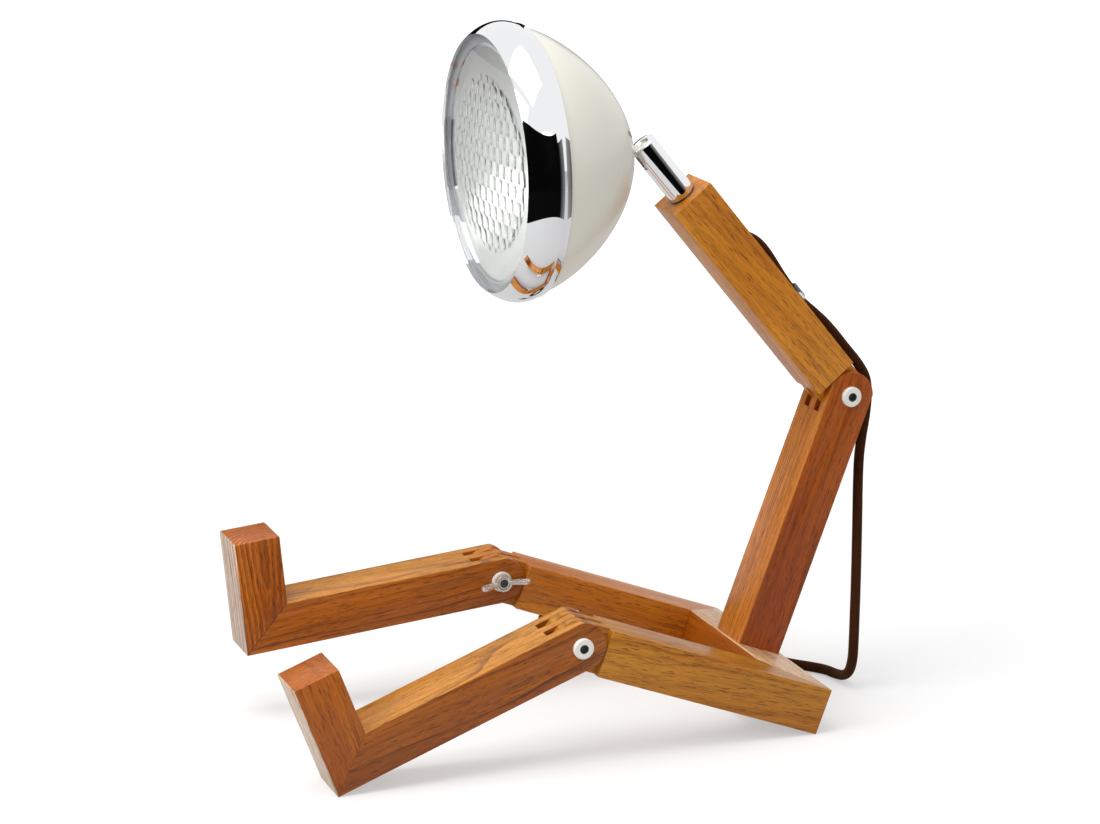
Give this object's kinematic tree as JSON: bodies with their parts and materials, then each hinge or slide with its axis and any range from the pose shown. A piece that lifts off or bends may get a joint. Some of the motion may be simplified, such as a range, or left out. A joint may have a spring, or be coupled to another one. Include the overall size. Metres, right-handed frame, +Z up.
{
  "type": "desk lamp",
  "caption": "Articulated wooden desk lamp shaped like a sitting jointed figure, with square beam limbs, wing-nut knuckle hinges and a chrome-rimmed cream headlamp head",
  "frame": {"origin": "On the floor under the middle of the lamp's bounding box, measured without the free cord", "axes": "+Z up; the figure looks along -Y; +X is the figure's left side"},
  "size_m": [0.3322, 0.3772, 0.403],
  "materials": {
    "thigh_wood": "oiled hardwood, satin",
    "crossbar_wood": "oiled hardwood, satin",
    "shin_wood": "oiled hardwood, satin",
    "foot_wood": "oiled hardwood, satin",
    "torso_wood": "oiled hardwood, satin",
    "neck_wood": "oiled hardwood, satin",
    "dowel_wood": "plain",
    "satin_steel": "satin nickel",
    "bright_steel": "bright nickel",
    "chrome": "polished",
    "dark_metal": "dark gloss",
    "brass": "plain",
    "enamel": "gloss enamel, cream",
    "lens_glass": "clear, fluted",
    "gasket_rubber": "grey",
    "reflector": "vacuum-coated",
    "bush_plastic": "plain",
    "board": "white",
    "led": "phosphor yellow",
    "sink_aluminium": "plain",
    "lead_plastic": "white",
    "cord_textile": "woven brown textile",
    "switch_plastic": "dark brown"
  },
  "bodies": {
    "seat": {"left_thigh": "thigh_wood", "right_thigh": "thigh_wood", "seat_crossbar": "crossbar_wood", "seat_dowels": "dowel_wood", "torso": "torso_wood", "torso_screws": "bright_steel", "left_knee_bolt": "satin_steel", "right_knee_bolt": "satin_steel", "shoulder_bolt": "satin_steel", "left_knee_washer": "satin_steel", "right_knee_washer": "satin_steel", "shoulder_washer": "satin_steel", "cord_shoulder": "cord_textile", "cord_drop": "cord_textile", "switch_base": "switch_plastic", "switch_cover": "switch_plastic", "switch_pin": "bright_steel", "cord_link": "cord_textile", "cord_coil": "cord_textile", "cord_tail": "cord_textile", "plug_body": "switch_plastic", "plug_pins": "brass"},
    "left_leg": {"left_shin": "shin_wood", "left_foot": "foot_wood", "left_foot_dowels": "dowel_wood"},
    "right_leg": {"right_shin": "shin_wood", "right_foot": "foot_wood", "right_foot_dowels": "dowel_wood"},
    "neck": {"neck_beam": "neck_wood", "stem_washer": "dark_metal", "stem_nipple": "brass", "stem_lead": "lead_plastic", "cord_inner": "cord_textile", "cord_clip": "dark_metal", "clip_screw": "bright_steel", "cord_neck": "cord_textile"},
    "stem": {"stem_tube": "chrome", "ball_seat": "bush_plastic"},
    "head": {"ball_stud": "satin_steel", "stud_nut": "satin_steel", "head_shell": "enamel", "head_rim": "chrome", "lens": "lens_glass", "lens_gasket": "gasket_rubber", "reflector": "reflector", "led_board": "board", "led_chips": "led", "heat_sink": "sink_aluminium", "heat_sink_screws": "bright_steel", "head_lead": "lead_plastic"},
    "left_knee_nut": {"left_knee_wing_nut": "bright_steel"},
    "right_knee_nut": {"right_knee_wing_nut": "bright_steel"},
    "shoulder_nut": {"shoulder_wing_nut": "bright_steel"},
    "rocker": {"switch_rocker": "switch_plastic"}
  },
  "joints": [
    {"name": "left_knee", "type": "hinge", "parent": "seat", "child": "left_leg", "pos_m": [0.066, -0.0203, 0.06812], "axis": [1, 0, 0], "range_deg": [-131.5, 48.5]},
    {"name": "right_knee", "type": "hinge", "parent": "seat", "child": "right_leg", "pos_m": [-0.066, -0.0203, 0.06812], "axis": [1, 0, 0], "range_deg": [-116, 63.9]},
    {"name": "shoulder", "type": "hinge", "parent": "seat", "child": "neck", "pos_m": [0, 0.17093, 0.17813], "axis": [1, 0, 0], "range_deg": [-150, 30], "deforming": ["cord_shoulder"]},
    {"name": "stem_swivel", "type": "hinge", "parent": "neck", "child": "stem", "pos_m": [0, 0.06769, 0.30427], "axis": [0, -0.6334, 0.7738], "range_deg": [-170, 170]},
    {"name": "head_tilt", "type": "hinge", "parent": "stem", "child": "head", "pos_m": [0, 0.04951, 0.32648], "axis": [1, 0, 0], "range_deg": [-50, 48]},
    {"name": "left_knee_nut_turn", "type": "hinge", "parent": "seat", "child": "left_knee_nut", "pos_m": [0.045, -0.0203, 0.06812], "axis": [-1, 0, 0], "continuous": true},
    {"name": "right_knee_nut_turn", "type": "hinge", "parent": "seat", "child": "right_knee_nut", "pos_m": [-0.045, -0.0203, 0.06812], "axis": [1, 0, 0], "continuous": true},
    {"name": "shoulder_nut_turn", "type": "hinge", "parent": "seat", "child": "shoulder_nut", "pos_m": [-0.021, 0.17093, 0.17813], "axis": [-1, 0, 0], "continuous": true},
    {"name": "switch_rock", "type": "hinge", "parent": "seat", "child": "rocker", "pos_m": [-0.08701, 0.13903, 0.008], "axis": [-0.1736, 0.9848, 0], "range_deg": [-12, 0]}
  ]
}
